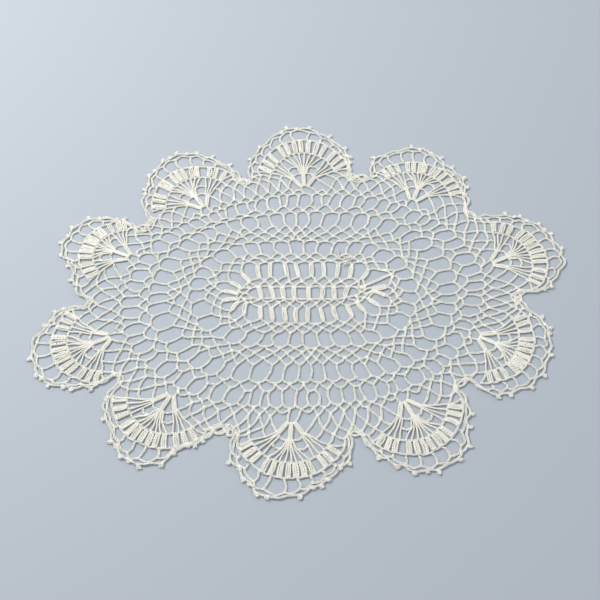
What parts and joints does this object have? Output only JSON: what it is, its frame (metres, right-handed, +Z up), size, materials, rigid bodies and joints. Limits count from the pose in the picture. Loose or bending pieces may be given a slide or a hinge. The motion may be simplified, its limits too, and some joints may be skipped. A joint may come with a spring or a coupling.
{
  "type": "crocheted lace doily",
  "caption": "Oval crocheted lace doily with an openwork net middle and scalloped fan petals round its edge, lying flat.",
  "frame": {"origin": "middle of the outline's box, on the underside", "axes": "+X along the doily's length, +Y across it, +Z up from the surface it lies on"},
  "size_m": [0.3998, 0.345, 0.0015],
  "materials": {
    "cotton": "undyed ivory crochet cotton, matt"
  },
  "bodies": {
    "root": {"doily": "cotton"}
  },
  "joints": []
}
